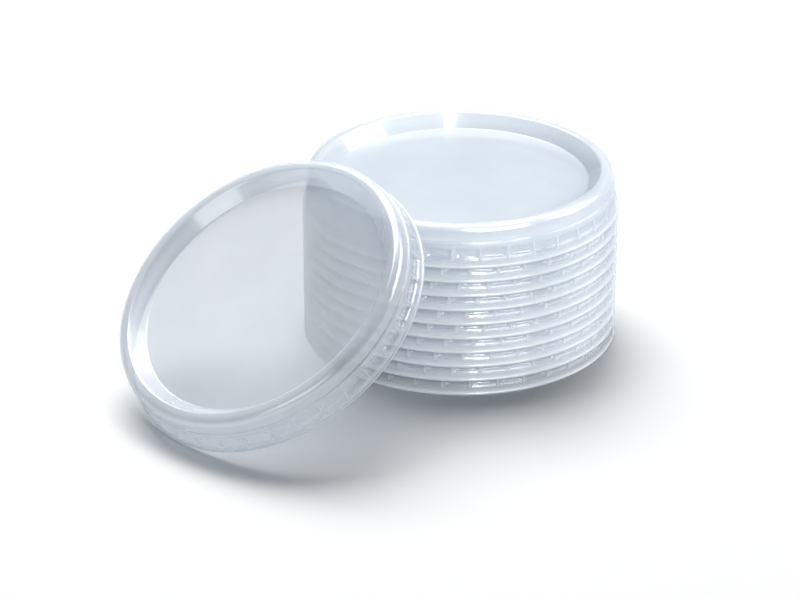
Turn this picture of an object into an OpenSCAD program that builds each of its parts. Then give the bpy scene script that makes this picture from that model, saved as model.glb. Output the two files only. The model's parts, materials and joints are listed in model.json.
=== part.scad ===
// Nested stack of round press-on plastic lids, with one more lid leaning on it.
// Every lid is the same thin one-piece moulding. Z is up and the origin is on the
// stack's axis, at the height of the surface that the bottom lid stands on.

/* [Stack] */
// Lids nested in the stack
stack_count = 10; // [3:1:12]
// Rise from one nested lid to the next
nest_pitch = 5.6; // [5.5:0.05:6.2]
// Turn of the lugs from one lid to the next, in degrees
lug_stagger = 3.7; // [0:0.1:10]

/* [Lid] */
// Diameter over the lip bead
lid_d = 117; // [110:1:130]
// Height from the lip to the crest of the rim
lid_h = 15.2; // [14.6:0.1:16]
// Wall thickness all over
wall_t = 0.5; // [0.4:0.05:0.5]
// Depth of the recess below the crest
recess_depth = 5.2; // [4.2:0.1:5.4]
// Slope of the recess wall above the level, in degrees
recess_slope = 50; // [45:1:65]

/* [Rim] */
// How far the rim's outer wall stands in from the lip bead
rim_inset = 2; // [2:0.1:2.4]
// Radius of the rim's outer shoulder
shoulder_r = 3; // [2.2:0.1:3.2]
// Width of the flat crest
crest_w = 1.2; // [0.4:0.1:2]
// Radius of the rim's inner corner
inner_corner_r = 1.5; // [1:0.1:2]

/* [Skirt] */
// Height of the ledge that the next lid's lugs rest on
ledge_z = 9.2; // [8.8:0.1:9.6]
// Width of the ledge
ledge_w = 0.55; // [0.5:0.05:0.6]
// Height of the lip bead
bead_h = 0.9; // [0.6:0.1:1.2]
// Skirt taper, in millimetres of radius per millimetre of height
skirt_taper = 0.125; // [0.11:0.005:0.13]

/* [Stacking lugs] */
// Lugs round the skirt
lug_count = 36; // [12:1:40]
// Gap between two lugs, in degrees
lug_gap = 1.7; // [1:0.1:3]
// Height of a lug
lug_h = 3.2; // [2.4:0.1:3.2]
// Play between a lug and the rim that it goes down over
lug_play = 0.15; // [0.1:0.05:0.2]
// Depth of the pocket behind a lug
pocket_depth = 0.25; // [0.15:0.05:0.3]

/* [Leaning lid] */
// Direction in which it lies from the stack, in degrees about Z
lean_azimuth = -137.5; // [-180:0.5:180]
// Tilt of its face from level, in degrees
lean_tilt = 36.5; // [34:0.5:40]
// Distance of its lip circle's centre from the stack's axis
lean_reach = 90; // [88:0.1:110]
// Turn of its lugs about its own axis, in degrees
lean_spin = 4; // [0:0.5:10]

/* [Hidden] */
$fn = 180;
arc_steps = 8;       // straight pieces in a profile arc
support_gap = 0.1;   // play under a resting lug
eps = 0.5;           // how far a cutter runs past a face

lip_r = lid_d / 2;
rim_r = lip_r - rim_inset;
ledge_r = rim_r + ledge_w;
panel_z = lid_h - recess_depth;
shoulder_c = [rim_r - shoulder_r, lid_h - shoulder_r];
corner_c = [shoulder_c[0] - crest_w, lid_h - inner_corner_r];
corner_end = 90 + recess_slope;
wall_top = corner_c + inner_corner_r * [cos(corner_end), sin(corner_end)];
foot_r = wall_top[0] - (wall_top[1] - panel_z) / tan(recess_slope);
under_shift = wall_t * tan(recess_slope / 2);
lug_z = ledge_z - nest_pitch + support_gap;
lug_top = lug_z + lug_h;
lug_r = rim_r + lug_play;
pocket_z = lug_z - wall_t;

// Two-digit node name of the stack's lid number i, counted from the bottom
function stack_name(i) = str("stack_lid_", i < 10 ? "0" : "", i);

// Radius of the skirt's outer face at height z
function skirt_r(z) = ledge_r + skirt_taper * (ledge_z - z);

// Radius of the skirt's inner face at height z
function skirt_in_r(z) = skirt_r(z) - wall_t;

// Points of an arc in the profile plane
function arc(c, r, from, to) =
    [for (k = [0 : arc_steps]) let (a = from + (to - from) * k / arc_steps) c + r * [cos(a), sin(a)]];

// Upper face of the wall, from the lip over the rim to the axis
function upper_face() = concat(
    [[lip_r, 0], [lip_r, bead_h], [skirt_r(bead_h), bead_h], [ledge_r, ledge_z], [rim_r, ledge_z]],
    arc(shoulder_c, shoulder_r, 0, 90),
    arc(corner_c, inner_corner_r, 90, corner_end),
    [[foot_r, panel_z], [0, panel_z]]
);

// Lower face of the wall, from the axis back to the lip, with the lug ring on it
function lower_face() = concat(
    [[0, panel_z - wall_t], [foot_r + under_shift, panel_z - wall_t]],
    arc(corner_c, inner_corner_r - wall_t, corner_end, 90),
    arc(shoulder_c, shoulder_r - wall_t, 90, 0),
    [[rim_r - wall_t, ledge_z - wall_t], [skirt_in_r(ledge_z - wall_t), ledge_z - wall_t]],
    [[skirt_in_r(lug_top), lug_top], [lug_r, lug_top - wall_t], [lug_r, lug_z]],
    [[skirt_in_r(lug_z), lug_z], [skirt_in_r(0), 0]]
);

// Pockets behind the lugs, as seen from outside
module pockets() {
    for (k = [0 : lug_count - 1])
        rotate([0, 0, k * 360 / lug_count])
            rotate_extrude(angle = 360 / lug_count - lug_gap)
                polygon([
                    [skirt_r(pocket_z) - pocket_depth, pocket_z],
                    [lip_r + eps, pocket_z],
                    [lip_r + eps, lug_top],
                    [skirt_r(lug_top) - pocket_depth, lug_top]
                ]);
}

// One lid, standing on its lip with its axis on Z
module lid() {
    difference() {
        rotate_extrude() polygon(concat(upper_face(), lower_face()));
        pockets();
    }
}

// Lid number i of the stack, counted from the bottom
module stack_lid(i) {
    color([0.86, 0.90, 0.95, 0.6])
        translate([0, 0, (i - 1) * nest_pitch])
            rotate([0, 0, i * lug_stagger])
                lid();
}

// The loose lid, its lip on the ground and its underside on the stack's rim
module leaning_lid() {
    color([0.88, 0.92, 0.96, 0.6])
        rotate([0, 0, lean_azimuth])
            translate([lean_reach, 0, lip_r * sin(lean_tilt)])
                rotate([0, lean_tilt, 0])
                    rotate([0, 0, lean_spin])
                        lid();
}

for (i = [1 : stack_count]) stack_lid(i);
leaning_lid();
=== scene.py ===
"""Looks of a nested stack of round translucent press-on lids, with one more lid leaning on it.

Every lid is lathed from one profile, in metres, with its moulded stacking lugs, and rides on its own body.
"""
import json
import math

import bpy
from mathutils import Matrix, Vector

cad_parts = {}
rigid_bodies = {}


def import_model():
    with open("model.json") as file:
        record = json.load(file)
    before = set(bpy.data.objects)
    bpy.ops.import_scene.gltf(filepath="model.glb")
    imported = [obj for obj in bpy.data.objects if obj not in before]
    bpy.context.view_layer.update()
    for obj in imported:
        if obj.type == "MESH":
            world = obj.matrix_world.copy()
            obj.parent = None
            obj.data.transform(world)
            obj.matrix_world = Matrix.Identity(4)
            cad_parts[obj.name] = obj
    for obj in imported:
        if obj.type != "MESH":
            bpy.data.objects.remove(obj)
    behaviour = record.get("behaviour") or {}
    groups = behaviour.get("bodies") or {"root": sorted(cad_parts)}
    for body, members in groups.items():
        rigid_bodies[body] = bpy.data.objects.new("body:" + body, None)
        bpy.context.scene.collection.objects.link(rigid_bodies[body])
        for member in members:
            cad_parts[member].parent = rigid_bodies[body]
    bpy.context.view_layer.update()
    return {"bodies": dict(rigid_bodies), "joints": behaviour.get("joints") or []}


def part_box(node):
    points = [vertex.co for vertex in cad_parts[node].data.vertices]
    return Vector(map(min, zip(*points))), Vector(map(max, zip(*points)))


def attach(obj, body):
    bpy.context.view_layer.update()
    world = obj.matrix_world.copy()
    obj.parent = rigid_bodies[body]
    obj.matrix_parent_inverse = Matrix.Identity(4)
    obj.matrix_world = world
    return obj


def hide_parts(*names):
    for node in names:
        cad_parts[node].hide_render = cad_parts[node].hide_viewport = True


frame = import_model()

MM = 0.001

# The lid's profile. Heights are above the lip's lower face, radii from the lid's axis.
LIP_R = 58.5 * MM          # outer radius of the lip bead
LIP_H = 0.9 * MM           # height of the lip bead
LID_H = 15.2 * MM          # height of the rim's crest
WALL = 0.5 * MM            # wall thickness
RIM_R = LIP_R - 2.0 * MM   # outer radius of the rim
LEDGE_R = RIM_R + 0.55 * MM
LEDGE_Z = 9.2 * MM
TAPER = 0.125              # skirt's radius gained per unit of height lost
SHOULDER_R = 3.0 * MM
CREST_W = 1.2 * MM
CORNER_R = 1.5 * MM
RECESS_DEPTH = 5.2 * MM
RECESS_SLOPE = math.radians(50)
PANEL_Z = LID_H - RECESS_DEPTH
CENTRE_R = 12 * MM         # only the ring of points nearest the axis lies inside this radius
FOOT_FILLET = 0.8 * MM     # at the foot of the recess wall
STEP_FILLET = 0.22 * MM    # at the corners of the ledge
LIP_FILLETS = (0.2 * MM, 0.3 * MM, 0.12 * MM)  # outside below, outside above, where the bead meets the skirt
HEM_FILLET = 0.15 * MM     # inside the lip, at its foot
HEM_Z = 2.0 * MM           # height of the ring of points inside the skirt between the lugs and the lip
FLAT_EDGE = 6 * MM         # from the foot of the recess wall to the first plain ring of the panel
PANEL_RINGS = (0.7, 0.45, 0.2)  # the panel's further rings, as shares of its radius

# The stacking lugs: a pocket outside and a lug behind it inside
LUGS = 36
LUG_Z = 3.7 * MM
LUG_TOP = 6.9 * MM
LUG_R = RIM_R + 0.15 * MM  # radius of a lug's inner face
POCKET_DEPTH = 0.13 * MM
LUG_GAP = 1.7              # degrees of plain skirt between two pockets
LUG_RAMP = 0.35            # degrees over which a pocket's end wall slopes
LUG_EASE = 0.25 * MM       # height over which a pocket's top and bottom slope
LUG_FOOT = 0.05 * MM       # height over which a lug's foot turns back to the skirt
NUB_OUT = 0.2 * MM         # how far the nub at the foot of each gap stands out
NUB_HALF = 0.5             # degrees from a nub's middle to its edge
LUG_STAGGER = 3.7          # degrees that each lid is turned from the one below
LEAN_SPIN = 4.0            # degrees that the leaning lid is turned about its own axis

# The plastic, at each of a wall's two faces
PLASTIC_DEEP = (0.60, 0.635, 0.67)
PLASTIC_PALE = (0.65, 0.685, 0.715)
CLEAR_TINT = (0.94, 0.955, 0.975)
GLOW_SHARE = 0.3           # share of the light held back that glows through to the other side
# Share of the light that each stretch of the wall keeps from going straight through
PANEL_MILK = 0.40
RIM_MILK = 0.40
SKIRT_MILK = 0.28
# The lip is milkier than the skirt, so it shows as a light line: in part the plastic's own look, in part a
# painted highlight along the lip
LIP_MILK_AND_HIGHLIGHT = 0.62
POCKET_MILK = 0.20
TICK_HIGHLIGHT_MILK = 0.55           # down the middle of a gap: a painted highlight, a light tick where the gap's edges catch the light
# Painted highlight: the nub at the foot of each gap is made nearly opaque so that it shows as a bright dot
NUB_HIGHLIGHT_MILK = 0.85
GLOSS = 0.045              # mirrored share, over all of the plastic
GLOSS_ROUGHNESS = 0.09
SKIN_ROUGHNESS = 0.26
SKIN_IOR = 1.49
SKIN_SPECULAR = 1.0
CLOUD_SCALE = 35           # of the faint clouds in the plastic
CLOUD_DETAIL = 3
CLOUD_STOPS = (0.3, 0.7)   # noise values at which the plastic is at its deepest and its palest

LIGHT_TARGET = Vector((-0.02, 0, 0.03))
WORLD_TINT = (0.72, 0.86, 1.0)
WORLD_GLOW = 0.01

FLOOR_HALF = 4.0
FLOOR_DROP = 0.05 * MM     # the floor's clearance under the lips
FLOOR_WHITE = 0.95

CAMERA_TARGET = Vector((-0.0224, 0, 0.0102))
CAMERA_ELEVATION = math.radians(25.6)
CAMERA_DISTANCE = 1.17
CAMERA_LENS = 140
CAMERA_SENSOR = 36

STACK = sorted(name for name in frame["bodies"] if name.startswith("stack_lid"))
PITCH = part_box(STACK[1])[0].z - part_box(STACK[0])[0].z
LEAN_JOINT = next(j for j in frame["joints"] if j["name"] == "lean_tip")


def skirt_r(z):
    """Radius of the skirt's outer face at height z."""
    return LEDGE_R + TAPER * (LEDGE_Z - z)


def skirt_in_r(z):
    """Radius of the skirt's inner face at height z."""
    return skirt_r(z) - WALL


def arc(centre, radius, start, end, steps):
    """Points on an arc in the profile plane, from angle start to angle end in degrees."""
    angles = [math.radians(start + (end - start) * k / steps) for k in range(steps + 1)]
    return [(centre[0] + radius * math.cos(a), centre[1] + radius * math.sin(a)) for a in angles]


def rounded(corners, steps=3):
    """A chain of (radius, height, fillet) corners, with each corner that has a fillet drawn as an arc."""
    points = []
    for k, (r, z, fillet) in enumerate(corners):
        here = Vector((r, z))
        if fillet == 0 or k in (0, len(corners) - 1):
            points.append((r, z))
            continue
        back = (Vector(corners[k - 1][:2]) - here).normalized()
        on = (Vector(corners[k + 1][:2]) - here).normalized()
        half = math.acos(max(-1.0, min(1.0, back.dot(on)))) / 2
        start = here + back * fillet / math.tan(half)
        end = here + on * fillet / math.tan(half)
        centre = here + (back + on).normalized() * fillet / math.sin(half)
        for s in range(steps + 1):
            along = start.lerp(end, s / steps) - centre
            points.append(tuple(centre + along.normalized() * fillet))
    return points


def profile():
    """The closed outline of the wall, as rows of radius, height, three shares and milkiness.

    The shares say how far a point follows a pocket, a lug or a nub where the column has one.
    """
    shoulder = (RIM_R - SHOULDER_R, LID_H - SHOULDER_R)
    corner = (shoulder[0] - CREST_W, LID_H - CORNER_R)
    slope_end = 90 + math.degrees(RECESS_SLOPE)
    top = arc(corner, CORNER_R, 90, slope_end, 7)
    foot_r = top[-1][0] - (top[-1][1] - PANEL_Z) / math.tan(RECESS_SLOPE)
    shift = WALL * math.tan(RECESS_SLOPE / 2)
    pocket_low = LUG_Z - WALL
    mid = (pocket_low + LUG_TOP) / 2

    lip = rounded([
        (LIP_R - WALL, 0, 0), (LIP_R, 0, LIP_FILLETS[0]), (LIP_R, LIP_H, LIP_FILLETS[1]),
        (skirt_r(LIP_H), LIP_H, LIP_FILLETS[2]),
        (skirt_r(pocket_low - 2 * LUG_EASE), pocket_low - 2 * LUG_EASE, 0),
    ])
    nub = [(skirt_r(pocket_low - LUG_EASE), pocket_low - LUG_EASE)]
    pocket = [(skirt_r(pocket_low), pocket_low), (skirt_r(mid), mid), (skirt_r(LUG_TOP), LUG_TOP)]
    ledge = rounded([
        (skirt_r(LUG_TOP + LUG_EASE), LUG_TOP + LUG_EASE, 0), (LEDGE_R, LEDGE_Z, STEP_FILLET),
        (RIM_R, LEDGE_Z, STEP_FILLET), (RIM_R, LID_H - SHOULDER_R, 0),
    ])[:-1]
    rim = arc(shoulder, SHOULDER_R, 0, 90, 9) + top[:-1]
    panel = rounded([
        top[-1] + (0,), (foot_r, PANEL_Z, FOOT_FILLET), (foot_r - FLAT_EDGE, PANEL_Z, 0),
    ], 5)
    panel += [(foot_r * share, PANEL_Z) for share in PANEL_RINGS]

    under = PANEL_Z - WALL
    channel = arc(corner, CORNER_R - WALL, slope_end, 90, 5) + arc(shoulder, SHOULDER_R - WALL, 90, 0, 7)
    underside = [(foot_r * share, under) for share in reversed(PANEL_RINGS)]
    underside += rounded([
        (foot_r - FLAT_EDGE, under, 0), (foot_r + shift, under, FOOT_FILLET), channel[0] + (0,),
    ], 5)[:-1]
    step = rounded([
        (RIM_R - WALL, LID_H - SHOULDER_R - WALL, 0), (RIM_R - WALL, LEDGE_Z - WALL, STEP_FILLET),
        (skirt_in_r(LEDGE_Z - WALL), LEDGE_Z - WALL, STEP_FILLET),
        (skirt_in_r(LUG_TOP + LUG_EASE), LUG_TOP + LUG_EASE, 0),
    ])
    lug = [(skirt_in_r(z), z) for z in (LUG_TOP - WALL, mid, LUG_Z)]
    hem = [(skirt_in_r(LUG_Z - LUG_FOOT), LUG_Z - LUG_FOOT)]
    hem += rounded([
        (skirt_in_r(HEM_Z), HEM_Z, 0), (skirt_in_r(0), 0, HEM_FILLET), (LIP_R - WALL, 0, 0),
    ])[:-1]

    rows = [(r, z, 0, 0, 0, LIP_MILK_AND_HIGHLIGHT) for r, z in lip[:-1]]
    rows += [(r, z, 0, 0, 0, SKIRT_MILK) for r, z in lip[-1:]]
    rows += [(r, z, 0, 0, 1, SKIRT_MILK) for r, z in nub]
    rows += [(r, z, 1, 0, 0, SKIRT_MILK) for r, z in pocket]
    rows += [(r, z, 0, 0, 0, RIM_MILK) for r, z in ledge + rim]
    rows += [(r, z, 0, 0, 0, PANEL_MILK) for r, z in panel + underside]
    rows += [(r, z, 0, 0, 0, RIM_MILK) for r, z in channel + step]
    rows += [(r, z, 0, 1, 0, SKIRT_MILK) for r, z in lug]
    rows += [(r, z, 0, 0, 0, SKIRT_MILK) for r, z in hem]
    return rows


def lug_columns():
    """Angles round the lid in degrees, each with its share of a lug and of a nub."""
    period = 360 / LUGS
    end = period - LUG_GAP
    half = LUG_RAMP / 2
    middle = end + LUG_GAP / 2
    column = [(-half, 0, 0), (0, 0.5, 0), (half, 1, 0)]
    column += [(end * k / 5, 1, 0) for k in range(1, 5)]
    column += [(end - half, 1, 0), (end, 0.5, 0), (end + half, 0, 0)]
    column += [(middle - NUB_HALF, 0, 0), (middle, 0, 1), (middle + NUB_HALF, 0, 0)]
    return [(n * period + angle, lug, nub) for n in range(LUGS) for angle, lug, nub in column]


def lathe(name, place):
    """A lid's mesh at a placing matrix, with its milkiness at each vertex, which also holds painted
    highlights along the lip, down the gaps and on the nubs.
    """
    rows = profile()
    columns = lug_columns()
    verts, faces, milk = [], [], []
    for angle, lug_here, nub_here in columns:
        c, s = math.cos(math.radians(angle)), math.sin(math.radians(angle))
        for r, z, pocket, lug, nub, base in rows:
            thin, tick_highlight, dot = lug_here * pocket, nub_here * pocket, nub_here * nub
            reach = r - lug_here * (pocket * POCKET_DEPTH + lug * (r - LUG_R)) + dot * NUB_OUT
            verts.append((reach * c, reach * s, z))
            # Painted highlights: the middle of each gap and its nub are made milkier, so they show as a
            # light tick and a bright dot
            mixed = base + thin * (POCKET_MILK - base) + tick_highlight * (TICK_HIGHLIGHT_MILK - base)
            milk.append(mixed + dot * (NUB_HIGHLIGHT_MILK - base))
    count, turns = len(rows), len(columns)
    inner = next(k for k in range(count) if rows[k][0] < CENTRE_R)
    top_pole = len(verts)
    verts += [(0, 0, PANEL_Z), (0, 0, PANEL_Z - WALL)]
    milk += [PANEL_MILK, PANEL_MILK]
    for t in range(turns):
        here, there = t * count, (t + 1) % turns * count
        for k in range(count):
            after = (k + 1) % count
            if k == inner:
                faces.append((here + k, there + k, top_pole))
                faces.append((there + after, here + after, top_pole + 1))
            else:
                faces.append((here + k, there + k, there + after, here + after))
    mesh = bpy.data.meshes.new(name)
    mesh.from_pydata(verts, [], faces)
    mesh.polygons.foreach_set("use_smooth", [True] * len(mesh.polygons))
    mesh.attributes.new("milk", "FLOAT", "POINT").data.foreach_set("value", milk)
    mesh.transform(place)
    mesh.update()
    return mesh


def add_lid(name, place, material):
    """A finished lid at a placing matrix, which rides on the body of its own name."""
    lid = bpy.data.objects.new(name + "_moulding", lathe(name, place))
    bpy.context.scene.collection.objects.link(lid)
    lid.data.materials.append(material)
    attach(lid, name)
    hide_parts(name)
    return lid


def stack_place(index):
    """Where lid number index of the stack stands, counted from 1 at the bottom."""
    turn = Matrix.Rotation(math.radians(index * LUG_STAGGER), 4, "Z")
    return Matrix.Translation((0, 0, (index - 1) * PITCH)) @ turn


def lean_place():
    """Where the leaning lid lies: flat with its lip at the foot point, then tipped up about it."""
    foot = Vector(LEAN_JOINT["pos_m"])
    tilt = math.radians(90 - LEAN_JOINT["range_deg"][1])
    outward = foot.normalized()
    azimuth = math.atan2(outward.y, outward.x)
    tip = Matrix.Rotation(tilt, 4, Vector(LEAN_JOINT["axis"]))
    turn = Matrix.Rotation(azimuth + math.radians(LEAN_SPIN), 4, "Z")
    return Matrix.Translation(foot) @ tip @ Matrix.Translation(-outward * LIP_R) @ turn


def new_material(name):
    """An empty node material, and its node tree."""
    material = bpy.data.materials.new(name)
    material.use_nodes = True
    tree = material.node_tree
    tree.nodes.clear()
    return material, tree


def lid_plastic():
    """Milky polypropylene with a soft gloss: part of the light goes straight through, part glows through."""
    material, tree = new_material("milky_polypropylene")
    nodes, links = tree.nodes, tree.links
    place = nodes.new("ShaderNodeTexCoord")
    cloud = nodes.new("ShaderNodeTexNoise")
    cloud.inputs["Scale"].default_value = CLOUD_SCALE
    cloud.inputs["Detail"].default_value = CLOUD_DETAIL
    tint = nodes.new("ShaderNodeValToRGB")
    for stop, position, colour in zip(tint.color_ramp.elements, CLOUD_STOPS, (PLASTIC_DEEP, PLASTIC_PALE)):
        stop.position = position
        stop.color = (*colour, 1)
    skin = nodes.new("ShaderNodeBsdfPrincipled")
    skin.inputs["Roughness"].default_value = SKIN_ROUGHNESS
    skin.inputs["IOR"].default_value = SKIN_IOR
    skin.inputs["Specular IOR Level"].default_value = SKIN_SPECULAR
    glow = nodes.new("ShaderNodeBsdfTranslucent")
    milk = nodes.new("ShaderNodeMixShader")
    milk.inputs["Fac"].default_value = GLOW_SHARE
    clear = nodes.new("ShaderNodeBsdfTransparent")
    clear.inputs["Color"].default_value = (*CLEAR_TINT, 1)
    # The milk attribute holds the plastic's milkiness and also the painted highlights along the lips, down
    # the gaps and on the nubs
    milkiness = nodes.new("ShaderNodeAttribute")
    milkiness.attribute_name = "milk"
    wall = nodes.new("ShaderNodeMixShader")
    gloss = nodes.new("ShaderNodeBsdfGlossy")
    gloss.inputs["Color"].default_value = (GLOSS, GLOSS, GLOSS, 1)
    gloss.inputs["Roughness"].default_value = GLOSS_ROUGHNESS
    coated = nodes.new("ShaderNodeAddShader")
    out = nodes.new("ShaderNodeOutputMaterial")
    links.new(place.outputs["Object"], cloud.inputs["Vector"])
    links.new(cloud.outputs["Fac"], tint.inputs["Fac"])
    links.new(tint.outputs["Color"], skin.inputs["Base Color"])
    links.new(tint.outputs["Color"], glow.inputs["Color"])
    links.new(skin.outputs["BSDF"], milk.inputs[1])
    links.new(glow.outputs["BSDF"], milk.inputs[2])
    links.new(milkiness.outputs["Fac"], wall.inputs["Fac"])
    links.new(clear.outputs["BSDF"], wall.inputs[1])
    links.new(milk.outputs["Shader"], wall.inputs[2])
    links.new(wall.outputs["Shader"], coated.inputs[0])
    links.new(gloss.outputs["BSDF"], coated.inputs[1])
    links.new(coated.outputs["Shader"], out.inputs["Surface"])
    return material


def floor_material():
    """Plain white paper."""
    material, tree = new_material("white_floor")
    out = tree.nodes.new("ShaderNodeOutputMaterial")
    skin = tree.nodes.new("ShaderNodeBsdfPrincipled")
    skin.inputs["Base Color"].default_value = (FLOOR_WHITE, FLOOR_WHITE, FLOOR_WHITE, 1)
    skin.inputs["Roughness"].default_value = 0.9
    skin.inputs["Specular IOR Level"].default_value = 0.1
    tree.links.new(skin.outputs["BSDF"], out.inputs["Surface"])
    return material


def add_floor():
    """A pale floor just under the lips."""
    corners = [(x * FLOOR_HALF, y * FLOOR_HALF, 0) for x, y in ((-1, -1), (1, -1), (1, 1), (-1, 1))]
    mesh = bpy.data.meshes.new("floor")
    mesh.from_pydata(corners, [], [(0, 1, 2, 3)])
    floor = bpy.data.objects.new("floor", mesh)
    bpy.context.scene.collection.objects.link(floor)
    floor.location.z = -FLOOR_DROP
    mesh.materials.append(floor_material())


def add_softbox(name, azimuth, elevation, distance, width, height, power, lit=None):
    """A rectangular area light facing the object, at an azimuth and an elevation in degrees.

    Azimuth 0 is towards +X and 90 towards +Y. With lit, a collection, it lights only what is in that.
    """
    a, e = math.radians(azimuth), math.radians(elevation)
    away = Vector((math.cos(e) * math.cos(a), math.cos(e) * math.sin(a), math.sin(e)))
    data = bpy.data.lights.new(name, "AREA")
    data.shape = "RECTANGLE"
    data.size, data.size_y = width, height
    data.energy = power
    light = bpy.data.objects.new(name, data)
    light.location = LIGHT_TARGET + away * distance
    light.rotation_euler = away.to_track_quat("Z", "Y").to_euler()
    bpy.context.scene.collection.objects.link(light)
    if lit:
        light.light_linking.receiver_collection = lit


def add_studio(stack, leaning):
    """Soft keys behind the object, and small lights that reach only the stack or the leaning lid."""
    world = bpy.data.worlds.new("studio")
    bpy.context.scene.world = world
    world.use_nodes = True
    tree = world.node_tree
    tree.nodes.clear()
    out = tree.nodes.new("ShaderNodeOutputWorld")
    seen = tree.nodes.new("ShaderNodeBackground")
    seen.inputs["Color"].default_value = (1, 1, 1, 1)
    glow = tree.nodes.new("ShaderNodeBackground")
    glow.inputs["Color"].default_value = (*WORLD_TINT, 1)
    glow.inputs["Strength"].default_value = WORLD_GLOW
    path = tree.nodes.new("ShaderNodeLightPath")
    mix = tree.nodes.new("ShaderNodeMixShader")
    tree.links.new(path.outputs["Is Camera Ray"], mix.inputs["Fac"])
    tree.links.new(glow.outputs["Background"], mix.inputs[1])
    tree.links.new(seen.outputs["Background"], mix.inputs[2])
    tree.links.new(mix.outputs["Shader"], out.inputs["Surface"])
    add_softbox("key_left", 105, 60, 5.0, 3.8, 3.8, 296)
    add_softbox("key_right", 70, 60, 5.0, 3.8, 3.8, 74)
    add_softbox("stack_front", -60, 36, 1.4, 1.0, 0.9, 24, stack)
    add_softbox("stack_right", 10, 30, 1.4, 1.0, 0.9, 12, stack)
    add_softbox("stack_strip", -75.5, 40, 1.5, 0.19, 1.3, 12, stack)
    add_softbox("lean_back", 90, 60, 1.4, 1.0, 0.9, 10, leaning)
    add_softbox("lean_right", 10, 30, 1.4, 1.0, 0.9, 20, leaning)
    add_softbox("lean_front", -110, 20, 1.4, 1.0, 0.6, 6, leaning)


def add_camera():
    """The camera of the three-quarter product view, set as the scene's camera."""
    data = bpy.data.cameras.new("camera")
    data.lens = CAMERA_LENS
    data.sensor_width = CAMERA_SENSOR
    camera = bpy.data.objects.new("camera", data)
    back = Vector((0, -math.cos(CAMERA_ELEVATION), math.sin(CAMERA_ELEVATION)))
    camera.location = CAMERA_TARGET + back * CAMERA_DISTANCE
    camera.rotation_euler = back.to_track_quat("Z", "Y").to_euler()
    bpy.context.scene.collection.objects.link(camera)
    bpy.context.scene.camera = camera


def new_collection(name):
    """A collection that lights can be linked to."""
    collection = bpy.data.collections.new(name)
    bpy.context.scene.collection.children.link(collection)
    return collection


def set_rendering():
    """Plain colours and enough bounces for light to get through the whole stack."""
    scene = bpy.context.scene
    scene.view_settings.view_transform = "Standard"
    scene.cycles.max_bounces = 16
    scene.cycles.transparent_max_bounces = 64
    scene.cycles.caustics_reflective = False
    scene.cycles.sample_clamp_indirect = 3


add_camera()
plastic = lid_plastic()
stack = new_collection("stack")
leaning = new_collection("leaning")
for number, body in enumerate(STACK, start=1):
    stack.objects.link(add_lid(body, stack_place(number), plastic))
leaning.objects.link(add_lid("leaning_lid", lean_place(), plastic))
add_floor()
add_studio(stack, leaning)
set_rendering()
